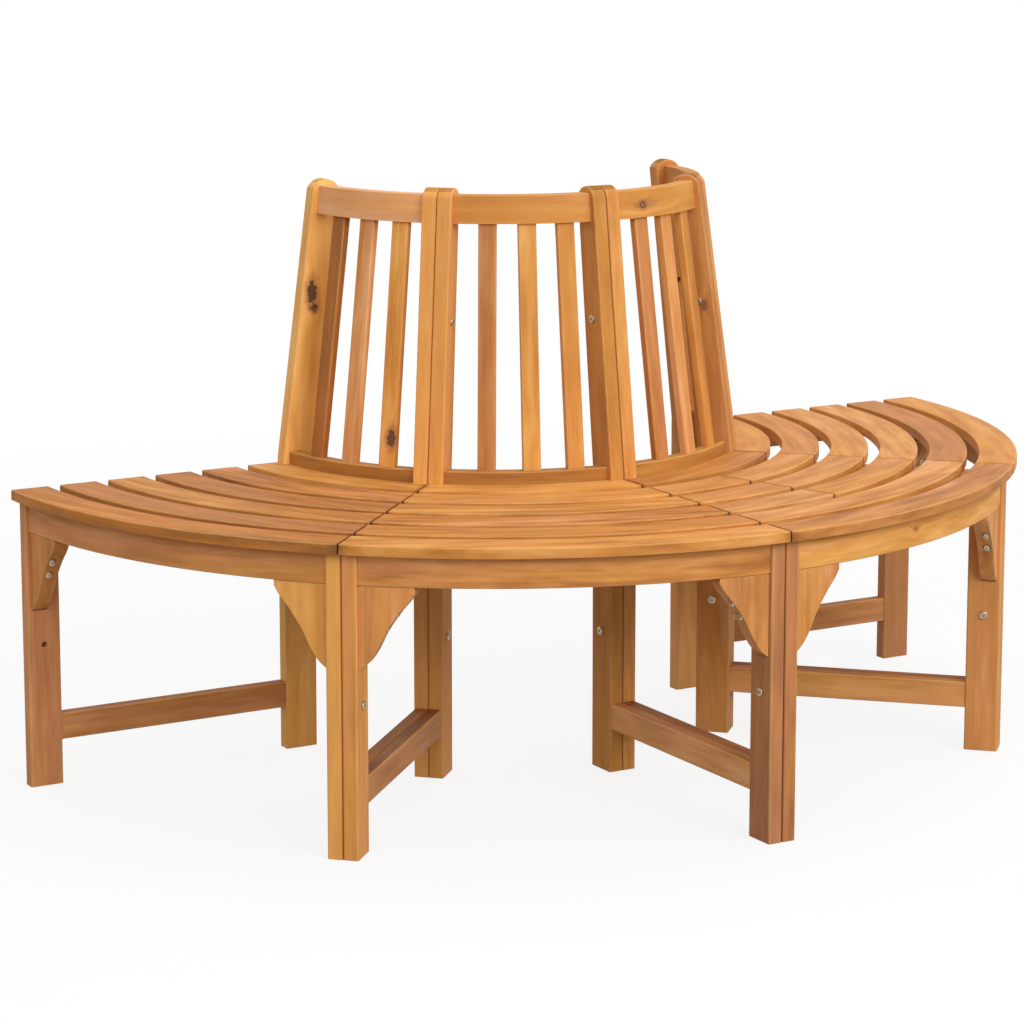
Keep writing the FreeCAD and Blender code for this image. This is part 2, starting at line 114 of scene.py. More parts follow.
@dataclass(frozen=True)
class Tone:
    """How one board's colour departs from the common honey colour.

    red runs from -1, golden, to 1, rosy brown. dark above 0 darkens the board, partly as its own tone and
    partly as painted shade; below 0 it lightens it, partly as painted light. figure is the strength of its
    markings, and orange its share of orange flushes.
    """

    red: float = 0.0
    dark: float = 0.0
    figure: float = 0.5
    orange: float = 0.4


# The fitted dark values are partly each board's own tone and partly painted shade and painted light.
def toned(**rows: tuple[float, float, float, float]) -> Mapping[str, Tone]:
    """Most rows weren't chosen by hand. Each board's median colour in the photograph was compared with
    the render's, and red, dark and orange were moved to bring the two together.
    """
    return field(default_factory=lambda: {name: Tone(*row) for name, row in rows.items()})


@dataclass(frozen=True)
class Sawn:
    """The way one board's fibres run, in the board's own axes, and its colour.

    follow is how far the fibres go along with a turned board's curve, from 0 to 1. under and over are
    painted shade: how much darker the board is made at its underside and above a height. seam is how
    much darker it is where it meets the next board.
    """

    name: str
    along: Point
    across: Point
    tone: Tone = Tone()
    sawing: Sawing = Sawing.FLAT
    follow: float = 0.0
    under: float = 0.0
    over: float = 0.0
    above: float = 0.0
    seam: float = 0.0


# Shader sums


@dataclass(frozen=True)
class Signal:
    """One shader socket that adds, subtracts and multiplies like a number."""

    sheet: "NodeSheet"
    socket: NodeSocket

    def _join(self, operation: str, first: "Term", second: "Term") -> "Signal":
        """Add the Math node of one operation."""
        return self.sheet.add("Math", {"operation": operation}, {0: first, 1: second})

    def __add__(self, other: "Term") -> "Signal":
        """Sum."""
        return self._join("ADD", self, other)

    __radd__ = __add__

    def __sub__(self, other: "Term") -> "Signal":
        """Difference."""
        return self._join("SUBTRACT", self, other)

    def __rsub__(self, other: "Term") -> "Signal":
        """Difference from a number."""
        return self._join("SUBTRACT", other, self)

    def __mul__(self, other: "Term") -> "Signal":
        """Product."""
        return self._join("MULTIPLY", self, other)

    __rmul__ = __mul__


Term = float | Signal


class NodeSheet:
    """The node tree of one material or world, filled through a single method."""

    def __init__(self, owner: Material | World) -> None:
        """Start from an empty tree.

        Args:
            owner: the material or world whose nodes are made.
        """
        owner.use_nodes = True
        self.tree = owner.node_tree
        self.tree.nodes.clear()

    def add(
        self,
        kind: str,
        settings: Mapping[str, object] | None = None,
        inputs: Mapping[int | str, object] | None = None,
        output: int | str = 0,
    ) -> Signal:
        """Add one node.

        Args:
            kind: the node's type, without ShaderNode in front.
            settings: its own settings, set first; "stops" are the positions and colours of a ramp.
            inputs: a value or a Signal for each named or numbered socket.
            output: the socket that is handed back.

        Returns:
            The chosen output as a Signal.
        """
        node = self.tree.nodes.new("ShaderNode" + kind)
        for name, setting in (settings or {}).items():
            if name == "stops":
                elements = node.color_ramp.elements
                while len(elements) < len(setting):
                    elements.new(1.0)
                for element, (place, colour) in zip(elements, setting):
                    element.position = place
                    element.color = (*colour, 1.0)
            else:
                setattr(node, name, setting)
        for name, term in (inputs or {}).items():
            if isinstance(term, Signal):
                self.tree.links.new(term.socket, node.inputs[name])
            elif isinstance(term, tuple) and len(term) == 3 and node.inputs[name].type == "RGBA":
                node.inputs[name].default_value = (*term, 1.0)
            else:
                node.inputs[name].default_value = term
        return Signal(self, node.outputs[output] if len(node.outputs) else None)

    def attribute(self, name: str, output: str) -> Signal:
        """Read one of the attributes that the boards carry."""
        return self.add("Attribute", {"attribute_name": name}, output=output)

    def place(self) -> Signal:
        """Read the point's own place on the bench."""
        return self.add("TexCoord", output="Object")

    def split(self, vector: Signal) -> tuple[Signal, Signal, Signal]:
        """Take a vector apart into its three numbers."""
        node = self.add("SeparateXYZ", inputs={0: vector}).socket.node
        return tuple(Signal(self, node.outputs[k]) for k in range(3))

    def join(self, x: Term, y: Term, z: Term) -> Signal:
        """Make a vector of three numbers."""
        return self.add("CombineXYZ", inputs={0: x, 1: y, 2: z})

    def vector(self, operation: str, first: object, second: object, output: str = "Vector") -> Signal:
        """Add one Vector Math node."""
        return self.add("VectorMath", {"operation": operation}, {0: first, 1: second}, output)

    def length(self, vector: Signal) -> Signal:
        """Measure a vector."""
        return self.vector("LENGTH", vector, (0.0, 0.0, 0.0), "Value")

    def noise(self, vector: Signal, detail: float = 2.0, rough: float = 0.5, scale: float = 1.0) -> Signal:
        """Read a noise pattern, from 0 to 1, at a vector that is already stretched."""
        return self.add(
            "TexNoise", inputs={"Vector": vector, "Scale": scale, "Detail": detail, "Roughness": rough}
        )

    def step(
        self, value: Term, low: float, high: float, to_low: float = 0.0, to_high: float = 1.0
    ) -> Signal:
        """Ease a number from one level to another between two limits."""
        return self.add(
            "MapRange",
            {"interpolation_type": "SMOOTHSTEP"},
            {"Value": value, "From Min": low, "From Max": high, "To Min": to_low, "To Max": to_high},
        )

    def limit(self, value: Term) -> Signal:
        """Keep a number between 0 and 1."""
        return self.add("Clamp", inputs={0: value})

    def mix(self, factor: Term, first: object, second: object) -> Signal:
        """Mix two colours."""
        return self.add("Mix", {"data_type": "RGBA"}, {0: factor, 6: first, 7: second}, 2)

    def scale(self, colour: Signal, factor: Term) -> Signal:
        """Make a colour lighter or darker."""
        return self.add("VectorMath", {"operation": "SCALE"}, {0: colour, "Scale": factor})

    def ramp(self, level: Term, stops: Sequence[tuple[float, Rgb]]) -> Signal:
        """Read a row of colours."""
        return self.add("ValToRGB", {"stops": stops}, {0: level})

    def seen(self) -> Signal:
        """Tell the rays of the camera and of shiny metal from those that carry light."""
        rays = self.add("LightPath").socket.node.outputs
        kinds = ("Camera", "Glossy", "Transmission")
        camera, glossy, clear = (Signal(self, rays[f"Is {kind} Ray"]) for kind in kinds)
        return self.limit(camera + glossy + clear)

    def surface(self, shader: Signal, output: str = "OutputMaterial") -> None:
        """Join a finished shader to the tree's output."""
        self.add(output, inputs={"Surface": shader})

    def polish(self, height: Term, strength: float, depth: float, inputs: Mapping[str, object]) -> None:
        """Finish the tree with a principled shader.

        Args:
            height: the relief.
            strength: how strongly it shows.
            depth: how deep it is.
            inputs: the shader's other inputs.
        """
        bump = self.add("Bump", inputs={"Strength": strength, "Distance": depth, "Height": height})
        self.surface(self.add("BsdfPrincipled", inputs={**inputs, "Normal": bump}))


# Finishes


class Heart(Enum):
    """What a knot looks like in the board's face."""

    DARK = "dark"
    RINGED = "ringed"


@dataclass(frozen=True)
class Knot:
    """A knot in a board's face: its place, its size, how long it is drawn out upwards, and its heart."""

    place: Point
    radius: float
    upright: float = 1.0
    depth: float = 0.9
    heart: Heart = Heart.DARK


@dataclass(frozen=True)
class Finish:
    """A material by name, whose nodes each kind of finish lays."""

    name: str

    def build(self) -> Material:
        """Make the material.

        Returns:
            The material with all its nodes.
        """
        material = bpy.data.materials.new(self.name)
        self.lay(NodeSheet(material))
        return material

    def lay(self, sheet: NodeSheet) -> None:
        """Lay the nodes."""
        raise NotImplementedError


@dataclass(frozen=True)
class OiledWood(Finish):
    """Oiled acacia-like hardwood: growth rings, soft streaks, pores, knots and a satin oil sheen."""

    stops: tuple[float, ...] = (0.0, 0.28, 0.54, 0.80, 1.0)
    honeyed: tuple[Rgb, ...] = (
        (0.42, 0.15, 0.036), (0.57, 0.217, 0.045), (0.7, 0.296, 0.063), (0.795, 0.385, 0.1),
        (0.87, 0.48, 0.155),
    )
    rosy: tuple[Rgb, ...] = (
        (0.3, 0.105, 0.045), (0.43, 0.168, 0.074), (0.56, 0.24, 0.112), (0.68, 0.325, 0.165),
        (0.76, 0.41, 0.22),
    )
    gold: Rgb = (1.0, 1.13, 1.15)
    blush: Rgb = (1.0, 0.85, 0.74)
    vein: Rgb = (0.330, 0.110, 0.040)
    # Colour of the eased edges: partly wear, partly painted highlight.
    worn: Rgb = (0.880, 0.500, 0.180)
    rim: Rgb = (0.400, 0.125, 0.060)
    knot: Rgb = (0.105, 0.062, 0.034)
    # Below 1 this darkens the whole material: painted shade, used for the copy on parts under the seat.
    shade: float = 1.0
    rough: float = 0.58
    knots: tuple[Knot, ...] = ()

    def lay(self, sheet: NodeSheet) -> None:
        """Lay nodes that read the boards' grain, tone, end_cut and worn attributes.

        Args:
            sheet: the material's nodes.
        """
        grain = sheet.attribute("grain", "Vector")
        red, dark, figure = sheet.split(sheet.attribute("tone", "Vector"))
        orange = sheet.attribute("tone", "Alpha")
        end = sheet.attribute("end_cut", "Fac")
        worn = sheet.attribute("worn", "Fac")
        along, across, through = sheet.split(grain)

        wander = sheet.noise(sheet.vector("MULTIPLY", grain, (2.6, 13.0, 13.0)), 2.0) - 0.5
        heart, rim, bend = self._knots(sheet)
        across = across + wander * 0.014 + bend * 0.008
        through = through + wander * 0.010
        length = sheet.add("Math", {"operation": "SQRT"}, {0: across * across + through * through})

        def drawn(lengthwise: float, crosswise: float, detail: float, rough: float = 0.5) -> Signal:
            """Read a noise that is drawn out along the fibres."""
            place = sheet.join(along * lengthwise, across * crosswise, through * crosswise)
            return sheet.noise(place, detail, rough)

        rings = sheet.noise(sheet.join(along * 0.5, length * 210.0, 3.0), 3.0, 0.6)
        lines = sheet.noise(sheet.join(along * 0.8, length * 330.0, 17.0), 1.0)
        patches = drawn(8.0, 48.0, 2.0, 0.55)
        drift = sheet.noise(sheet.join(along * 2.8, across * 24.0 + 7.0, through * 24.0), 2.0)
        streaks = drawn(3.0, 170.0, 3.0, 0.6)
        fibres = drawn(14.0, 700.0, 2.0, 0.6)
        pores = drawn(110.0, 2100.0, 1.0)
        pore = sheet.step(pores, 0.60, 0.72)
        vein = sheet.step(lines, 0.62, 0.78) * sheet.step(patches, 0.35, 0.55, 1.0, 0.25)

        level = (
            0.56
            - dark * 0.30
            + (patches - 0.5) * (0.3 + figure * 2.1)
            + (drift - 0.5) * (0.2 + figure * 1.3)
            + (rings - 0.5) * (0.1 + figure * 0.7)
            + (streaks - 0.5) * (0.15 + figure * 0.4)
            + (fibres - 0.5) * 0.22
            - pore * 0.06
        )
        leaning = red + (drift - 0.5) * (0.6 + figure * 2.0)
        honeyed = sheet.ramp(level, tuple(zip(self.stops, self.honeyed)))
        golden = sheet.vector("MULTIPLY", honeyed, self.gold)
        colour = sheet.mix(sheet.limit(0.0 - leaning), honeyed, golden)
        rosy = sheet.ramp(level, tuple(zip(self.stops, self.rosy)))
        colour = sheet.mix(sheet.limit(leaning), colour, rosy)
        flushes = sheet.step(drift * 0.5 + patches * 0.5, 0.42, 0.60)
        flush = sheet.limit(flushes * (0.3 + figure * 0.7) * orange * 2.0)
        colour = sheet.mix(flush, colour, sheet.vector("MULTIPLY", colour, self.blush))
        colour = sheet.mix(vein * (0.12 + figure * 0.45), colour, self.vein)
        colour = sheet.scale(colour, (1.0 - dark * 0.25 - end * 0.34) * self.shade)
        # Eased edges go lighter and more golden: partly wear, partly painted highlight.
        colour = sheet.mix(worn * sheet.step(fibres, 0.35, 0.65, 0.15, 0.42), colour, self.worn)
        colour = sheet.mix(sheet.limit(rim), colour, self.rim)
        colour = sheet.mix(sheet.limit(heart), colour, self.knot)

        rough = self.rough + (fibres - 0.5) * 0.16 + end * 0.22 + pore * 0.12 + worn * 0.05
        height = fibres * 0.5 + streaks * 0.35 + rings * 0.2 - pore * 0.6 - vein * 0.2
        sheen = {"Base Color": colour, "Roughness": rough, "IOR": 1.45, "Specular IOR Level": 0.22}
        sheet.polish(height, 0.35, 0.0004, sheen)

    def _knots(self, sheet: NodeSheet) -> tuple[Term, Term, Term]:
        """Make the knots.

        Args:
            sheet: the material's nodes.

        Returns:
            How far each point is in a knot's heart and in its reddish rim, and how far the fibres are
            pushed aside there.
        """
        place = sheet.place()
        uneven = sheet.noise(place, 2.0, 0.6, 150.0) - 0.5
        heart, rim, bend = 0.0, 0.0, 0.0
        for knot in self.knots:
            size = knot.radius
            stretch = (1.0, 1.0, 1.0 / knot.upright)
            offset = sheet.vector("MULTIPLY", sheet.vector("SUBTRACT", place, knot.place), stretch)
            far = sheet.length(offset)
            ragged = far + uneven * (size * 1.1)
            core = sheet.step(ragged, size * 0.70, size, knot.depth, 0.0)
            if knot.heart is Heart.RINGED:
                core = core * sheet.step(ragged, size * 0.35, size * 0.65, 0.1, 1.0)
            heart = core + heart
            rim = sheet.step(ragged, size * 0.9, size * 1.9, 0.60 * knot.depth, 0.0) + rim
            bend = sheet.step(far, size * 0.8, size * 4.0, 1.0, 0.0) + bend
        return heart, rim, bend


@dataclass(frozen=True)
class ZincPlate(Finish):
    """Yellow zinc-plated steel of the screws and connector bolts."""

    bright: Rgb = (0.56, 0.46, 0.31)
    dull: Rgb = (0.30, 0.23, 0.15)

    def lay(self, sheet: NodeSheet) -> None:
        """Lay the nodes of a metal with a clouded plating and fine turning marks.

        Args:
            sheet: the material's nodes.
        """
        place = sheet.place()
        cloud = sheet.noise(place, 3.0, 0.6, 420.0)
        marks = sheet.noise(place, 2.0, 0.5, 2600.0)
        colour = sheet.mix(sheet.step(cloud, 0.35, 0.65), self.dull, self.bright)
        rough = 0.38 + (cloud - 0.5) * 0.24 + (marks - 0.5) * 0.10
        sheet.polish(marks, 0.2, 0.0001, {"Base Color": colour, "Metallic": 1.0, "Roughness": rough})


@dataclass(frozen=True)
class PaleFloor(Finish):
    """Matt white floor that goes over into the background and keeps the bench's shadow."""

    name: str = "pale_floor"
    colour: Rgb = (0.30, 0.30, 0.30)
    seen: Rgb = (0.95, 0.95, 0.95)
    shadow: float = 0.16
    near: float = 1.4
    far: float = 3.4

    def lay(self, sheet: NodeSheet) -> None:
        """Lay the nodes of a floor that cameras and shiny metal see white, with a faint shadow.

        Args:
            sheet: the material's nodes.
        """
        far = sheet.length(sheet.place())
        shadow = sheet.step(far, self.near, self.far, self.shadow, 0.0)
        white = sheet.add("Emission", inputs={"Color": WHITE, "Strength": 1.0})
        paint = sheet.add("BsdfDiffuse", inputs={"Color": self.seen})
        shown = sheet.add("MixShader", inputs={0: shadow, 1: white, 2: paint})
        plain = sheet.add("BsdfDiffuse", inputs={"Color": self.colour})
        sheet.surface(sheet.add("MixShader", inputs={0: sheet.seen(), 1: plain, 2: shown}))


# Boards


class Board:
    """One board: a closed mesh in the axes of a frame plane, sawn, trimmed and eased."""

    def __init__(self) -> None:
        """Start with an empty mesh."""
        self.mesh = bmesh.new()
        self.mesh.faces.layers.float.new("worn")

    @classmethod
    def sawn(cls, outline: Sequence[Spot], low: float, high: float) -> "Board":
        """Cut a flat board to an outline.

        Args:
            outline: corners in r and z.
            low: v of the first face.
            high: v of the second face.

        Returns:
            The board.
        """
        board = cls()
        corners = [board.mesh.verts.new((r, low, z)) for r, z in outline]
        face = board.mesh.faces.new(corners)
        board.thicken(face, Vector((0.0, high - low, 0.0)))
        return board

    @classmethod
    def turned(cls, section: Sequence[Spot], reach: float, steps: int = 36) -> "Board":
        """Sweep a section about the ring's axis, to both sides of a segment's middle.

        Args:
            section: corners in r and z.
            reach: angle to each side.
            steps: how many steps the sweep is made in.

        Returns:
            The board, whose ends lie on radial planes.
        """
        board = cls()
        corners = [board.mesh.verts.new((r, 0.0, z)) for r, z in section]
        face = board.mesh.faces.new(corners)
        bmesh.ops.rotate(board.mesh, verts=corners, cent=(0, 0, 0), matrix=Matrix.Rotation(-reach, 3, "Z"))
        geometry = [*corners, *face.edges, face]
        bmesh.ops.spin(
            board.mesh, geom=geometry, cent=(0, 0, 0), axis=(0, 0, 1), angle=2 * reach, steps=steps
        )
        board._mend()
        return board

    def thicken(self, face: BMFace, way: Vector) -> None:
        """Extrude one face into a closed board."""
        made = bmesh.ops.extrude_face_region(self.mesh, geom=[face])
        moved = [item for item in made["geom"] if isinstance(item, BMVert)]
        bmesh.ops.translate(self.mesh, verts=moved, vec=way)
        self._mend()

    def _mend(self) -> None:
        """Merge doubles and point all faces outwards."""
        bmesh.ops.remove_doubles(self.mesh, verts=self.mesh.verts[:], dist=MERGE)
        bmesh.ops.recalc_face_normals(self.mesh, faces=self.mesh.faces[:])
        self.mesh.normal_update()

    def split(self, place: Vector, normal: Vector, trim: bool = False) -> None:
        """Score the board along a plane, or saw it off there.

        Args:
            place: a point of the plane.
            normal: the plane's normal; sawing takes away the side it points to.
            trim: saw off and close the end.
        """
        geometry = [*self.mesh.verts, *self.mesh.edges, *self.mesh.faces]
        cut = bmesh.ops.bisect_plane(
            self.mesh, geom=geometry, dist=1e-7, plane_co=place, plane_no=normal, clear_outer=trim
        )
        if trim:
            rim = [item for item in cut["geom_cut"] if isinstance(item, BMEdge)]
            bmesh.ops.contextual_create(self.mesh, geom=rim)
            self._mend()

    def between(self, *ends: Spot) -> "Board":
        """Trim a turned board between two planes that stand beside radial ones.

        Args:
            ends: each radial plane's angle from the segment's middle, and the gap from it to the board.

        Returns:
            The board.
        """
        for (angle, gap), way in zip(ends, (-1.0, 1.0)):
            across = Vector((-math.sin(angle), math.cos(angle), 0.0))
            self.split(across * (gap * -way), across * way, trim=True)
        return self

    def ease(
        self, radius: float, wanted: Callable[[BMEdge], bool] = lambda edge: True, steps: int = 3
    ) -> "Board":
        """Round the board's sharp edges.

        Args:
            radius: the rounding.
            wanted: picks among the sharp edges.
            steps: segments of the rounding.

        Returns:
            The board.
        """
        edges = [e for e in self.mesh.edges if e.calc_face_angle(0.0) > SHARP and wanted(e)]
        rounded = self.bevel(edges, radius, steps)
        worn = self.mesh.faces.layers.float["worn"]
        # The rounded faces get the lighter edge colour, partly wear and partly painted highlight.
        for face in rounded:
            face[worn] = 1.0
        self.mesh.normal_update()
        return self

    def bevel(self, items: list, radius: float, steps: int, affect: str = "EDGES") -> list:
        """Round some edges, or a flat outline's corners, and give the new faces."""
        return bmesh.ops.bevel(
            self.mesh, geom=items, offset=radius, offset_type="OFFSET", segments=steps, profile=0.5,
            affect=affect, clamp_overlap=True, material=-1,
        )["faces"]

    def drill(self, cutters: Sequence[Mesh]) -> None:
        """Take turned cutters out of the board.

        Args:
            cutters: closed meshes, used up here.
        """
        blank = bpy.data.meshes.new("blank")
        self.mesh.to_mesh(blank)
        stock = stand("blank", blank)
        tools = [stand("cutter", cutter) for cutter in cutters]
        for tool in tools:
            change = stock.modifiers.new("drill", "BOOLEAN")
            change.operation, change.solver, change.object = "DIFFERENCE", "EXACT", tool
        graph = bpy.context.evaluated_depsgraph_get()
        drilled = bpy.data.meshes.new_from_object(stock.evaluated_get(graph))
        self.mesh.clear()
        self.mesh.from_mesh(drilled)
        for item in (stock, *tools):
            mesh = item.data
            bpy.data.objects.remove(item)
            bpy.data.meshes.remove(mesh)
        bpy.data.meshes.remove(drilled)
        self.mesh.normal_update()

    def mark(self, sawn: Sawn) -> "Board":
        """Write the board's grain, tone and end grain on its mesh.

        Args:
            sawn: how the board was sawn.

        Returns:
            The board.
        """
        dice = random.Random(sawn.name)
        grain = self.mesh.verts.layers.float_vector.new("grain")
        tone = self.mesh.verts.layers.float_color.new("tone")
        cut = self.mesh.faces.layers.float.new("end_cut")
        along, across = Vector(sawn.along).normalized(), Vector(sawn.across).normalized()
        through = along.cross(across)
        middle = sum((v.co for v in self.mesh.verts), Vector()) / len(self.mesh.verts)
        if sawn.sawing is Sawing.FLAT:
            pith = (dice.uniform(-0.022, 0.022), dice.choice((-1, 1)) * dice.uniform(0.018, 0.05))
        else:
            pith = (dice.choice((-1, 1)) * dice.uniform(0.07, 0.12), dice.uniform(-0.02, 0.02))
        pith = Vector((dice.uniform(-40, 40), *pith))
        lean = Matrix.Rotation(math.radians(dice.uniform(-1.2, 1.2)), 3, "Z")
        kind = sawn.tone
        red = kind.red + dice.uniform(-0.04, 0.04)
        foot = min(v.co.z for v in self.mesh.verts)
        radius = middle.xy.length
        for vert in self.mesh.verts:
            place = vert.co - middle
            if sawn.follow:
                angle = math.atan2(vert.co.y, vert.co.x)
                unrolled = Vector((vert.co.xy.length - radius, angle * radius, place.z))
                place = place.lerp(unrolled, sawn.follow)
            vert[grain] = lean @ Vector((place.dot(along), place.dot(across), place.dot(through))) + pith
            height = vert.co.z
            # under and over add painted shade at the underside and above a height.
            dark = kind.dark + sawn.under * (height < foot + NEAR) + sawn.over * (height > sawn.above)
            vert[tone] = (red, dark, kind.figure, kind.orange)
        for face in self.mesh.faces:
            face[cut] = 1.0 if abs(face.normal.dot(along)) > END_GRAIN else 0.0
        if sawn.seam:
            self._darken_seams(sawn, tone)
        return self

    def _darken_seams(self, sawn: Sawn, tone: BMLayerItem, reach: float = 0.002) -> None:
        """Darken a turned board's edges round its ends, and a flat one's at the frame plane.

        Args:
            sawn: how the board was sawn.
            tone: the layer of the board's tone.
            reach: how far from the seam the edges are darker.
        """
        worn = self.mesh.faces.layers.float["worn"]
        angles = [math.atan2(v.co.y, v.co.x) for v in self.mesh.verts]
        ends = (min(angles), max(angles)) if sawn.follow else (0.0,)

        def away(place: Vector) -> float:
            """Measure how far a point is from the nearest seam."""
            if not sawn.follow:
                return abs(place.y)
            return min(abs(math.atan2(place.y, place.x) - end) for end in ends) * place.xy.length

        for vert in self.mesh.verts:
            red, dark, figure, orange = vert[tone]
            vert[tone] = (red, dark + sawn.seam * max(0.0, 1.0 - away(vert.co) / reach), figure, orange)
        for face in self.mesh.faces:
            if away(face.calc_center_median()) < reach * 1.4:
                face[worn] = 0.0


@dataclass
class Piece:
    """One visible object that stands for a CAD node and may hold several boards."""

    node: str
    slot: str = "oiled_hardwood"
    boards: list[tuple[Board, Matrix]] = field(default_factory=list)

    def add(self, board: Board, placement: Matrix) -> None:
        """Take in one board and its place."""
        self.boards.append((board, placement))

    def finish(self, material: Material) -> None:
        """Join the boards into one object at the origin and hand it to the frame.

        Args:
            material: the finish of all its boards.
        """
        whole = bmesh.new()
        for board, placement in self.boards:
            bmesh.ops.transform(board.mesh, matrix=placement, verts=board.mesh.verts[:])
            part = bpy.data.meshes.new("part")
            board.mesh.to_mesh(part)
            board.mesh.free()
            whole.from_mesh(part)
            bpy.data.meshes.remove(part)
        for face in whole.faces:
            face.smooth = True
        name = self.node + "_boards"
        mesh = settle(whole, name)
        mesh.materials.append(material)
        item = stand(name, mesh)
        smooth = item.modifiers.new("flat_faces", "WEIGHTED_NORMAL")
        smooth.mode, smooth.weight = "FACE_AREA", 50
        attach(item, "root")
        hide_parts(self.node)
        log.info("%s: %d boards, %d faces", self.node, len(self.boards), len(mesh.polygons))


def settle(shape: BMesh, name: str) -> Mesh:
    """Turn a finished shape into mesh data.

    Args:
        shape: the shape, used up here.
        name: name of the data.

    Returns:
        The mesh data.
    """
    mesh = bpy.data.meshes.new(name)
    shape.to_mesh(mesh)
    shape.free()
    return mesh


def stand(name: str, data: ID) -> Object:
    """Put an object with some data in the scene.

    Args:
        name: name of the object.
        data: its mesh, light or camera.

    Returns:
        The object, at the origin.
    """
    item = bpy.data.objects.new(name, data)
    bpy.context.collection.objects.link(item)
    return item


def at_height(edge: BMEdge, height: float) -> bool:
    """Tell whether both ends of an edge are at a height."""
    return all(abs(v.co.z - height) < NEAR for v in edge.verts)


def span(edge: BMEdge, axis: int) -> float:
    """Measure how far an edge reaches along an axis."""
    return abs(edge.verts[0].co[axis] - edge.verts[1].co[axis])


def oblong(inner: float, outer: float, bottom: float, top: float) -> tuple[Spot, ...]:
    """Give the corners of a rectangle in r and z."""
    return (inner, bottom), (outer, bottom), (outer, top), (inner, top)


# Sub-assemblies


@dataclass
class SeatSlats:
    """Six curved seat slats per segment, three of them in one segment made of two boards."""

    finish: Material
    radius: float = 0.800
    width: float = 0.057
    gap: float = 0.018
    top: float = 0.438
    thickness: float = 0.015
    edge: float = 0.0020
    seam: float = 0.0009
    joint: float = math.radians(18)
    joint_gap: float = 0.0010
    jointed: tuple[str, ...] = ("c3", "c4", "c5")
    notch_radius: float = 0.3765
    notch_depth: float = 0.0225
    notch_step: float = 0.00005
    inside: float = 0.372
    spare: float = 0.002
    tones: Mapping[str, Tone] = toned(
        a1=(-0.07, 0.61, 0.55, 1.0), a2=(0.43, 0.58, 0.35, 0.7), a3=(0.09, 0.35, 0.55, 0.1),
        a4=(0.24, 0.58, 0.35, 0.6), a5=(0.21, 0.22, 0.8, 0.9), a6=(-0.16, -0.01, 0.5, 0.0),
        b1=(-0.07, 0.06, 0.65, 0.4), b2=(0.06, 0.27, 0.5, 0.9), b3=(0.05, 0.39, 0.75, 1.1),
        b4=(-0.22, 0.19, 0.65, 0.4), b5=(0.06, -0.07, 0.6, 0.5), b6=(-0.08, -0.36, 0.5, 0.2),
        c1=(0.29, 0.34, 0.6, 0.4), c2=(0.33, -0.2, 0.6, 0.1), c3=(0.19, 0.01, 0.5, 0.1),
        c4=(0.19, 0.06, 0.5, 0.3), c5=(0.12, 0.08, 0.4, 0.2), c6=(0.31, 0.2, 0.4, 0.2),
        d1=(0.23, -0.15, 0.4, 0.1), d2=(0.46, 0.28, 0.35, 0.6), d3=(0.2, -0.15, 0.5, 0.0),
        d4=(0.17, -0.07, 0.42, 0.1), d5=(0.47, -0.08, 0.4, 0.7), d6=(0.09, -0.14, 0.3, 0.1),
    )

    def build(self) -> None:
        """Make all slats."""
        half = RING.segment / 2
        left, right = (-half, self.seam), (half, self.seam)
        joint = (self.joint - half, self.joint_gap)
        for s, letter in enumerate(SEGMENTS):
            for n in range(1, 7):
                name = f"{letter}{n}"
                piece = Piece("seat_slat_" + name)
                if name in self.jointed:
                    spans = ((left, joint), (joint, right))
                else:
                    spans = ((left, right),)
                sawing = Sawing.QUARTER if n % 3 == 1 else Sawing.FLAT
                # Slats get darker towards their undersides, most in the gaps between them: painted shade.
                under = 0.4 if n == 1 else 1.6
                for k, ends in enumerate(spans):
                    label = f"seat slat {name} {k}"
                    sawn = Sawn(label, ROUND, OUT, self.tones[name], sawing, 0.5, under, seam=1.2)
                    piece.add(self._slat(n, ends, sawn), RING.plane(s + 0.5))
                piece.finish(self.finish)

    def _slat(self, number: int, ends: Sequence[Spot], sawn: Sawn) -> Board:
        """Make one board of a slat.

        Args:
            number: 1 at the seat's edge to 6 at the back.
            ends: the planes that it ends at.
            sawn: its grain.

        Returns:
            The board, in the axes of the segment's middle.
        """
        outer = self.radius - (self.width + self.gap) * (number - 1)
        low, high = self.top - self.thickness, self.top
        section = oblong(outer - self.width, outer, low, high)
        board = Board.turned(section, RING.segment / 2 + self.spare)
        if number == 6:
            self._notch(board)
        board.between(*ends)
        board.ease(self.edge, lambda e: at_height(e, high))
        board.ease(ARRIS, steps=2)
        return board.mark(sawn)

    def _notch(self, board: Board) -> None:
        """Step the inmost slat's inner corners round the posts."""
        for way in (-1.0, 1.0):
            turn = RING.segment / 2 * way
            out = Vector((math.cos(turn), math.sin(turn), 0.0))
            across = Vector((-math.sin(turn), math.cos(turn), 0.0)) * -way
            for depth in (self.notch_depth, self.notch_depth - self.notch_step):
                board.split(across * depth, across)
            near = self.notch_depth - self.notch_step * 0.8
            for vert in board.mesh.verts:
                if vert.co.dot(across) < near and vert.co.xy.length < self.inside:
                    vert.co += out * (self.notch_radius - vert.co.dot(out))


@dataclass
class Aprons:
    """The curved boards under the seat's edge."""

    finish: Material
    outer: float = 0.784
    board: float = 0.020
    bottom: float = 0.379
    top: float = 0.423
    tones: Mapping[str, Tone] = toned(
        a=(0.44, -0.26, 0.5, 0.9), b=(0.4, -0.31, 0.75, 0.5), c=(-0.12, -0.39, 0.7, 0.4),
        d=(0.2, -0.2, 0.5, 0.3),
    )

    def build(self) -> None:
        """Make the four aprons."""
        half = RING.segment / 2
        section = oblong(self.outer - self.board, self.outer, self.bottom, self.top)
        for s, letter in enumerate(SEGMENTS):
            board = Board.turned(section, half).between((-half, THICK), (half, THICK))
            board.ease(0.002, lambda e: at_height(e, self.bottom)).ease(ARRIS, steps=2)
            board.mark(Sawn("apron " + letter, ROUND, UP, self.tones[letter], follow=0.9))
            Piece("apron_" + letter, boards=[(board, RING.plane(s + 0.5))]).finish(self.finish)


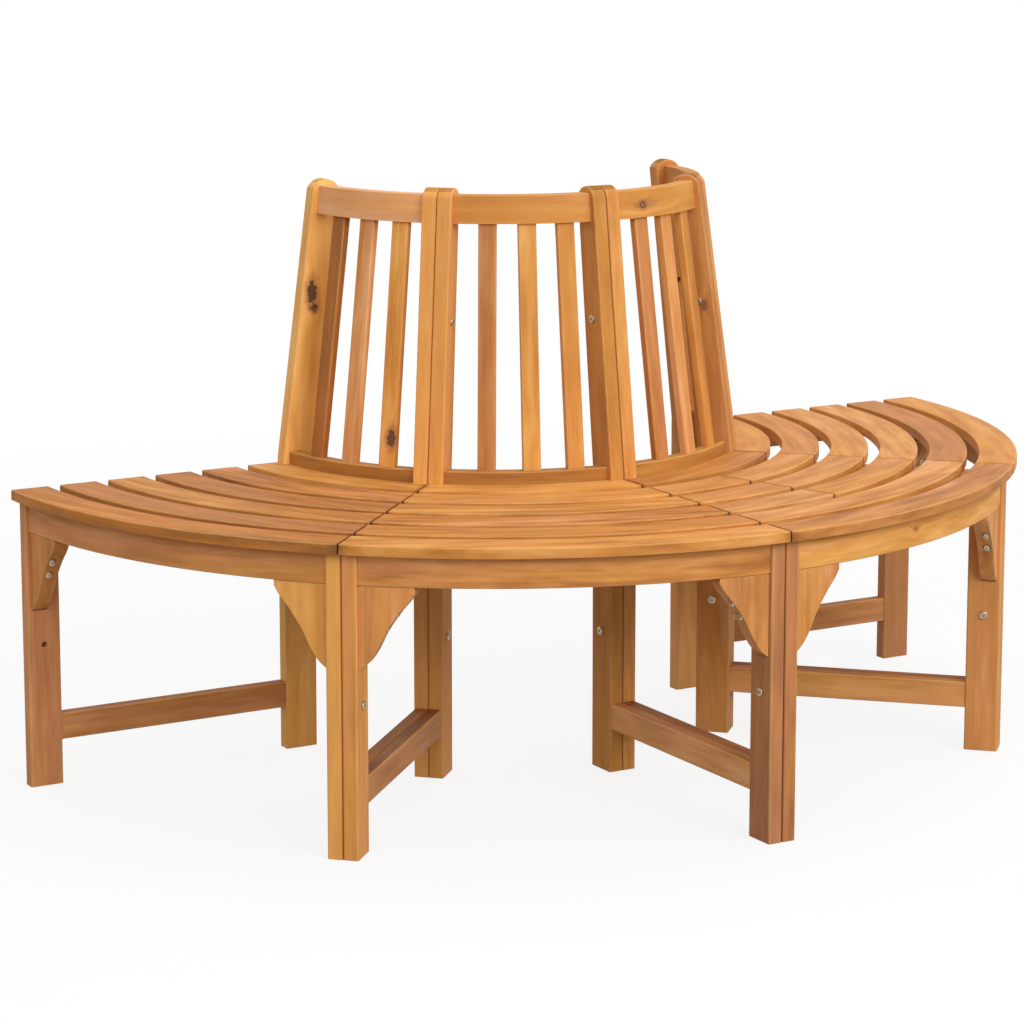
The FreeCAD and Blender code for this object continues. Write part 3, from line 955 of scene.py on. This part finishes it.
@dataclass(frozen=True)
class Bore:
    """A bolt's bore square through a leg or post."""

    out: float
    up: float
    radius: float = 0.0041
    flare: float = 0.0006
    over: float = 0.002

    def cutter(self, low: float, high: float) -> Mesh:
        """Turn a cutter that eases both mouths of the bore.

        Args:
            low: v of the board's first face.
            high: v of its second face.

        Returns:
            A closed mesh round the bore's line.
        """
        shape = bmesh.new()
        mouth, before, past = self.radius + self.flare + self.over, low - self.over, high + self.over
        profile = (
            (0.0, before), (mouth, before), (self.radius, low + self.flare),
            (self.radius, high - self.flare), (mouth, past), (0.0, past),
        )
        verts = [shape.verts.new((self.out + r, v, self.up)) for r, v in profile]
        edges = [shape.edges.new(pair) for pair in zip(verts, verts[1:])]
        bmesh.ops.spin(
            shape, geom=[*verts, *edges], cent=(self.out, 0, self.up), axis=(0, 1, 0),
            angle=math.tau, steps=24, use_merge=True,
        )
        bmesh.ops.remove_doubles(shape, verts=shape.verts[:], dist=MERGE)
        bmesh.ops.recalc_face_normals(shape, faces=shape.faces[:])
        return settle(shape, "cutter")


@dataclass(frozen=True)
class Rail:
    """Sizes of a straight board between leg and post, and how much darker its upper side is made as
    painted shade.
    """

    bottom: float
    top: float
    thickness: float
    over: float = 0.0


@dataclass
class FrameSides:
    """Front legs, rear posts, stretchers and seat bearers of the eight frame sides."""

    finish: Material
    shaded: Material
    seat: float = 0.423
    leg_outer: float = 0.788
    leg_depth: float = 0.050
    post: tuple[Spot, ...] = (
        (0.325, 0.0), (0.376, 0.0), (0.376, 0.446), (0.3225, 0.846), (0.279, 0.846), (0.324, 0.446),
    )
    crown: float = 0.860
    leg_bores: tuple[Bore, ...] = (Bore(0.763, 0.210),)
    post_bores: tuple[Bore, ...] = (Bore(0.349, 0.209), Bore(0.322, 0.6685))
    # The stretchers' upper sides are made darker: painted shade from the seat above.
    stretcher: Rail = Rail(0.065, 0.104, 0.020, 0.9)
    bearer: Rail = Rail(0.383, 0.423, THICK)
    hidden_stretcher: Tone = Tone(0.30, 0.00, 0.45, 0.4)
    bearer_tone: Tone = Tone(0.20, 0.10, 0.40, 0.4)
    arris: float = 0.0008
    leg_tones: Mapping[str, Tone] = toned(
        a_left=(0.66, -0.21, 0.45, 0.9), a_right=(0.04, -0.8, 0.3, 1.1),
        b_left=(0.25, -0.38, 0.4, 1.1), b_right=(0.7, 0.4, 0.3, 0.3),
        c_left=(0.67, 0.17, 0.35, 1.0), c_right=(0.37, -0.29, 0.35, 1.0),
        d_left=(0.1, -0.2, 0.35, 0.4), d_right=(0.8, 0.09, 0.2, 0.7),
    )
    post_tones: Mapping[str, Tone] = toned(
        a_left=(-0.5, -0.9, 0.3, 0.0), a_right=(0.05, -0.61, 0.15, 0.2),
        b_left=(0.13, -0.42, 0.15, 0.3), b_right=(-0.43, 0.17, 0.2, 0.0),
        c_left=(0.08, -0.16, 0.4, 0.2), c_right=(0.33, -0.16, 0.25, 0.0),
        d_left=(0.1, -0.2, 0.25, 0.2), d_right=(0.21, -0.9, 0.2, 0.2),
    )
    # Posts b_right, c_right and d_right are made darker above 0.4 m: painted shade.
    post_shades: Mapping[str, float] = field(
        default_factory=lambda: {"b_right": 0.2, "c_right": 0.5, "d_right": 1.1}
    )
    stretcher_tones: Mapping[str, Tone] = toned(
        a_left=(0.57, -0.13, 0.45, 0.6), b_left=(0.66, 0.06, 0.45, 0.1),
        b_right=(0.5, -0.88, 0.45, 0.4), c_right=(0.41, -0.85, 0.45, 0.8),
        d_right=(0.5, -0.07, 0.45, 0.6),
    )

    def build(self) -> None:
        """Make all frame sides."""
        slot = "oiled_hardwood_dark"
        stretchers, bearers = Piece("stretchers", slot), Piece("seat_bearers", slot)
        for s, letter in enumerate(SEGMENTS):
            for side in Side:
                name = f"{letter}_{side.word}"
                place = RING.plane(s if side is Side.LEFT else s + 1)
                for label, make in (("front_leg_", self._leg), ("rear_post_", self._post)):
                    Piece(label + name, boards=[(make(name, side), place)]).finish(self.finish)
                tone = self.stretcher_tones.get(name, self.hidden_stretcher)
                stretchers.add(self._rail("stretcher " + name, side, self.stretcher, tone), place)
                bearers.add(self._rail("bearer " + name, side, self.bearer, self.bearer_tone), place)
        stretchers.finish(self.shaded)
        bearers.finish(self.shaded)

    def _faces(self, side: Side, thickness: float) -> Spot:
        """Give the v of a board's two faces."""
        return (0.0, thickness) if side is Side.LEFT else (-thickness, 0.0)

    def _leg(self, name: str, side: Side) -> Board:
        """Make one front leg.

        Args:
            name: segment and side.
            side: which way it lies from the frame plane.

        Returns:
            The board.
        """
        low, high = self._faces(side, THICK)
        section = oblong(self.leg_outer - self.leg_depth, self.leg_outer, 0.0, self.seat)
        board = Board.sawn(section, low, high)
        board.ease(0.003, lambda e: span(e, 2) > LONG).ease(self.arris, steps=2)
        board.drill([bore.cutter(low, high) for bore in self.leg_bores])
        return board.mark(Sawn("leg " + name, UP, OUT, self.leg_tones[name], seam=1.6))

    def _post(self, name: str, side: Side) -> Board:
        """Make one rear post with its bend and its round crown.

        Args:
            name: segment and side.
            side: which way it lies from the frame plane.

        Returns:
            The board.
        """
        low, high = self._faces(side, THICK)
        front, back = self.post[3], self.post[4]
        half, rise = (front[0] - back[0]) / 2, self.crown - front[1]
        radius = (half * half + rise * rise) / (2 * rise)
        centre = ((front[0] + back[0]) / 2, low, self.crown - radius)
        board = Board()
        start = board.mesh.verts.new((front[0], low, front[1]))
        turn = 2 * math.asin(half / radius)
        bmesh.ops.spin(board.mesh, geom=[start], cent=centre, axis=(0, -1, 0), angle=turn, steps=14)
        arc = board.mesh.verts[:]
        tip = min(arc, key=lambda v: v.co.x)
        rest = [board.mesh.verts.new((r, low, z)) for r, z in (self.post[5], *self.post[:3])]
        for pair in zip((tip, *rest), (*rest, start)):
            board.mesh.edges.new(pair)
        bmesh.ops.contextual_create(board.mesh, geom=board.mesh.edges[:])
        board.thicken(board.mesh.faces[:][0], Vector((0.0, high - low, 0.0)))
        board.ease(0.002, lambda e: not at_height(e, 0.0) and span(e, 1) < NEAR)
        board.ease(self.arris, lambda e: at_height(e, 0.0), steps=2)
        board.drill([bore.cutter(low, high) for bore in self.post_bores])
        # over is painted shade on the post above 0.4 m.
        tone, over = self.post_tones[name], self.post_shades.get(name, 0.0)
        lean = ((-0.06, 0, 1), (1, 0, 0.06))
        return board.mark(Sawn("post " + name, *lean, tone, over=over, above=0.4, seam=1.3))

    def _rail(self, name: str, side: Side, rail: Rail, tone: Tone) -> Board:
        """Make one rail between leg and post.

        Args:
            name: what it is and where.
            side: which way it lies from the frame plane.
            rail: its sizes.
            tone: its colour.

        Returns:
            The board.
        """
        section = oblong(self.post[1][0], self.leg_outer - self.leg_depth, rail.bottom, rail.top)
        board = Board.sawn(section, *self._faces(side, rail.thickness))
        board.ease(0.002, lambda e: span(e, 0) > LONG).ease(0.0004, steps=1)
        return board.mark(Sawn(name, OUT, UP, tone, over=rail.over, above=rail.top - NEAR, seam=1.0))


@dataclass
class Brackets:
    """Ogee brackets in the corners of legs and aprons, bent to the aprons' curve."""

    finish: Material
    outer: float = 0.782
    board: float = 0.024
    top: float = 0.379
    reach: float = 0.098
    ogee: tuple[Spot, ...] = (
        (0.098, 0.371), (0.092, 0.360), (0.077, 0.343), (0.058, 0.315), (0.045, 0.287), (0.033, 0.270),
        (THICK, 0.262),
    )
    bends: int = 6
    screws: tuple[tuple[float, float], ...] = ((0.342, 0.0725), (0.3215, 0.0585))
    screw_out: float = 0.770
    recess: float = 0.006
    recess_depth: float = 0.04
    tones: Mapping[str, Tone] = toned(
        a_left=(0.29, 0.08, 0.4, 1.1), b_left=(0.33, -0.26, 0.55, 1.0),
        c_left=(0.21, 0.01, 0.6, 0.4), d_left=(0.1, 0.0, 0.45, 0.4),
        a_right=(-0.04, -0.64, 0.35, 0.5), b_right=(0.51, -0.13, 0.55, 0.8),
        c_right=(0.69, -0.55, 0.5, 0.8), d_right=(0.1, 0.0, 0.45, 0.4),
    )

    def build(self) -> None:
        """Make the eight brackets."""
        for side in Side:
            piece = Piece("brackets_" + side.word)
            for s, letter in enumerate(SEGMENTS):
                place = RING.plane(s if side is Side.LEFT else s + 1)
                tone = self.tones[f"{letter}_{side.word}"]
                piece.add(self._bracket(f"{letter} {side.word}", side, tone), place)
            piece.finish(self.finish)

    def _bracket(self, name: str, side: Side, tone: Tone) -> Board:
        """Make one bracket.

        Args:
            name: segment and side.
            side: which way it points from the frame plane.
            tone: its colour.

        Returns:
            The board.
        """
        board = Board()
        outline = (*self.ogee, (THICK, self.top), (self.reach, self.top))
        corners = [board.mesh.verts.new((self.outer - self.board, v, z)) for v, z in outline]
        board.mesh.faces.new(corners)
        board.bevel(corners[1:6], 0.009, 5, "VERTICES")
        board.thicken(board.mesh.faces[:][0], Vector((self.board, 0.0, 0.0)))
        board.ease(0.0014, lambda e: span(e, 0) < NEAR / 10)
        for k in range(1, self.bends):
            board.split(Vector((0, THICK + (self.reach - THICK) * k / self.bends, 0)), Vector(ROUND))
        for vert in board.mesh.verts:
            vert.co.x = math.sqrt(vert.co.x**2 - vert.co.y**2)
        board.drill([self._seat(height, depth) for height, depth in self.screws])
        if side is Side.RIGHT:
            bmesh.ops.scale(board.mesh, vec=(1, -1, 1), verts=board.mesh.verts[:])
            bmesh.ops.reverse_faces(board.mesh, faces=board.mesh.faces[:])
            board.mesh.normal_update()
        return board.mark(Sawn("bracket " + name, UP, (0, side.value, 0), tone))

    def _seat(self, height: float, depth: float) -> Mesh:
        """Make the cutter of one screw head's recess.

        Args:
            height: z of the screw.
            depth: v of the face that the head rests on.

        Returns:
            A closed cylinder along v.
        """
        shape = bmesh.new()
        middle = Matrix.Translation((self.screw_out, depth + self.recess_depth / 2, height))
        bmesh.ops.create_cone(
            shape, cap_ends=True, segments=32, radius1=self.recess, radius2=self.recess,
            depth=self.recess_depth, matrix=middle @ Matrix.Rotation(math.pi / 2, 4, "X"),
        )
        return settle(shape, "cutter")


@dataclass
class BackRest:
    """Lower and top back rails and the three back slats of each segment."""

    finish: Material
    lower: tuple[Spot, ...] = oblong(0.347, 0.367, 0.417, 0.457)
    upper: tuple[Spot, ...] = ((0.2987, 0.810), (0.3187, 0.810), (0.3132, 0.851), (0.2932, 0.851))
    slat: tuple[Spot, ...] = ((0.350, 0.457), (0.362, 0.457), (0.3137, 0.810), (0.3017, 0.810))
    slat_width: float = 0.0265
    slat_turn: float = math.radians(1.1)
    slat_step: float = math.radians(10.5)
    rail_tones: Mapping[str, Tone] = toned(
        lower_back_rail_a=(-0.62, 0.75, 0.3, 0.0), lower_back_rail_b=(-0.63, 0.72, 0.35, 0.0),
        lower_back_rail_c=(-0.61, 0.67, 0.35, 0.0), lower_back_rail_d=(0.0, 0.4, 0.35, 0.1),
        top_rail_a=(0.74, -0.9, 0.2, 0.0), top_rail_b=(0.16, 0.01, 0.12, 0.1),
        top_rail_c=(-0.34, -0.01, 0.35, 0.0), top_rail_d=(0.2, 0.1, 0.3, 0.3),
    )
    # Bay d's slats have a high dark: painted shade.
    slat_tones: Mapping[str, Tone] = toned(
        a1=(0.16, 0.85, 0.3, 0.9), a2=(0.67, -0.6, 0.45, 0.0), a3=(0.0, -0.53, 0.45, 0.0),
        b1=(0.6, 0.15, 0.4, 0.0), b2=(-0.49, -0.05, 0.5, 0.0), b3=(-0.06, 0.05, 0.35, 0.0),
        c1=(0.5, 0.16, 0.45, 0.6), c2=(0.32, -0.26, 0.45, 0.4), c3=(0.05, 0.0, 0.45, 0.4),
        d1=(0.55, 0.9, 0.45, 0.8), d2=(0.45, 0.8, 0.45, 0.8), d3=(0.3, 0.5, 0.45, 0.6),
    )

    def build(self) -> None:
        """Make the rails and slats."""
        half = RING.segment / 2
        slats = Piece("back_slats")
        for s, letter in enumerate(SEGMENTS):
            for label, section in (("lower_back_rail_", self.lower), ("top_rail_", self.upper)):
                node, top = label + letter, section[2][1]
                board = Board.turned(section, half, 30).between((-half, THICK), (half, THICK))
                board.ease(0.002, lambda e: at_height(e, top)).ease(ARRIS, steps=2)
                board.mark(Sawn(node, ROUND, UP, self.rail_tones[node], follow=0.9))
                Piece(node, boards=[(board, RING.plane(s + 0.5))]).finish(self.finish)
            for k in (-1, 0, 1):
                turn = RING.plane(s + 0.5) @ Matrix.Rotation(self.slat_turn + self.slat_step * k, 4, "Z")
                slats.add(self._slat(f"back slat {letter}{k}", self.slat_tones[f"{letter}{k + 2}"]), turn)
        slats.finish(self.finish)

    def _slat(self, name: str, tone: Tone) -> Board:
        """Make one back slat.

        Args:
            name: what it is and where.
            tone: its colour.

        Returns:
            The board, in the axes of the radial line that it stands on.
        """
        board = Board.sawn(self.slat, -self.slat_width / 2, self.slat_width / 2)
        board.ease(0.002, lambda e: span(e, 2) > LONG)
        return board.mark(Sawn(name, (-0.137, 0, 1), ROUND, tone))


@dataclass
class Fasteners:
    """The screws and connector bolts, kept as the CAD has them and given their plating."""

    plating: Material
    nodes: tuple[str, ...] = ("bracket_screws", "connector_bolts", "connector_sleeve_nuts")

    def dress(self) -> None:
        """Put the plating on every fastener."""
        for name in self.nodes:
            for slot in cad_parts[name].material_slots:
                slot.material = self.plating
            log.info("%s: plated", name)


@dataclass
class Studio:
    """Floor, soft light and the photograph's camera."""

    middle: Point = (0.0, 0.0, 0.4)
    camera_place: Point = (-2.5183, -3.9847, 1.3569)
    camera_turn: Point = (80.207, 0.0, -30.163)
    lens: float = 116.5
    rise: float = -0.0996
    room: float = 0.42
    softbox: float = 3.0

    def build(self) -> None:
        """Set the stage."""
        self._floor()
        self._sky()
        self._lamp("front", (0.4, -4.6, 3.0), 120.0)
        self._lamp("left", (-3.4, -3.2, 3.2), 58.0)
        self._lamp("right", (2.8, -3.4, 3.4), 45.0)
        self._lamp("top", (1.8, 0.7, 5.0), 60.0)
        self._lamp("back", (-2.6, 3.8, 3.2), 30.0)
        self._camera()
        bpy.context.scene.view_settings.view_transform = "Standard"

    def _floor(self) -> None:
        """Lay the floor."""
        shape = bmesh.new()
        bmesh.ops.create_circle(shape, cap_ends=True, segments=96, radius=60.0)
        mesh = settle(shape, "floor")
        mesh.materials.append(PaleFloor().build())
        stand("floor", mesh)

    def _sky(self) -> None:
        """Light the room evenly and show it white."""
        world = bpy.data.worlds.new("soft_room")
        bpy.context.scene.world = world
        sheet = NodeSheet(world)
        light = sheet.add("Background", inputs={"Color": (1.0, 0.99, 0.975), "Strength": self.room})
        white = sheet.add("Background", inputs={"Color": WHITE, "Strength": 1.0})
        shown = sheet.add("MixShader", inputs={0: sheet.seen(), 1: light, 2: white})
        sheet.surface(shown, "OutputWorld")

    def _lamp(self, name: str, place: Point, power: float) -> None:
        """Hang one softbox.

        Args:
            name: where it is from the bench.
            place: where it hangs.
            power: in watts.
        """
        data = bpy.data.lights.new(name + "_softbox", "AREA")
        data.shape, data.size, data.energy = "SQUARE", self.softbox, power
        lamp = stand(data.name, data)
        lamp.location = place
        lamp.rotation_euler = (Vector(self.middle) - Vector(place)).to_track_quat("-Z", "Y").to_euler()

    def _camera(self) -> None:
        """Stand the camera where the photograph was taken from."""
        data = bpy.data.cameras.new("photo_view")
        data.sensor_width, data.lens, data.shift_y = 36.0, self.lens, self.rise
        data.clip_end = 200.0
        camera = stand("photo_view", data)
        camera.location = self.camera_place
        camera.rotation_euler = [math.radians(angle) for angle in self.camera_turn]
        bpy.context.scene.camera = camera


# The knots' places come from rays that a scratch program cast through their pixels in the photograph.
KNOTS = (
    Knot((-0.3261, 0.378, 0.6918), 0.0088, 2.2, 0.95),
    Knot((-0.322, 0.378, 0.6685), 0.007, 1.0, 0.6, Heart.RINGED),
    Knot((-0.2917, 0.1952, 0.4985), 0.008, 1.9, 0.9),
    Knot((0.0726, 0.0923, 0.8286), 0.007, 0.8, 0.8, Heart.RINGED),
    Knot((0.08, 0.095, 0.829), 0.03, 0.25, 0.22),
    Knot((0.2524, -0.3423, 0.4041), 0.005, 1.0, 0.4),
    Knot((0.2192, 0.1497, 0.664), 0.006, 1.6, 0.6),
)


def corners(box: Iterable[Vector]) -> list[list[float]]:
    """Write a box's two corners as plain lists."""
    return [[round(number, 5) for number in corner] for corner in box]


def main() -> None:
    """Build the bench and its stage."""
    logging.basicConfig(level=logging.INFO, format="%(message)s")
    wood = OiledWood("oiled_hardwood", knots=KNOTS).build()
    # The stretchers and seat bearers get a darker copy of the wood: painted shade under the seat.
    shaded = OiledWood("oiled_hardwood_dark", shade=0.95).build()
    plating = ZincPlate("zinc_plated_steel").build()
    SeatSlats(wood).build()
    Aprons(wood).build()
    FrameSides(wood, shaded).build()
    Brackets(wood).build()
    BackRest(wood).build()
    Fasteners(plating).dress()
    Studio().build()


if __name__ == "__main__":
    main()
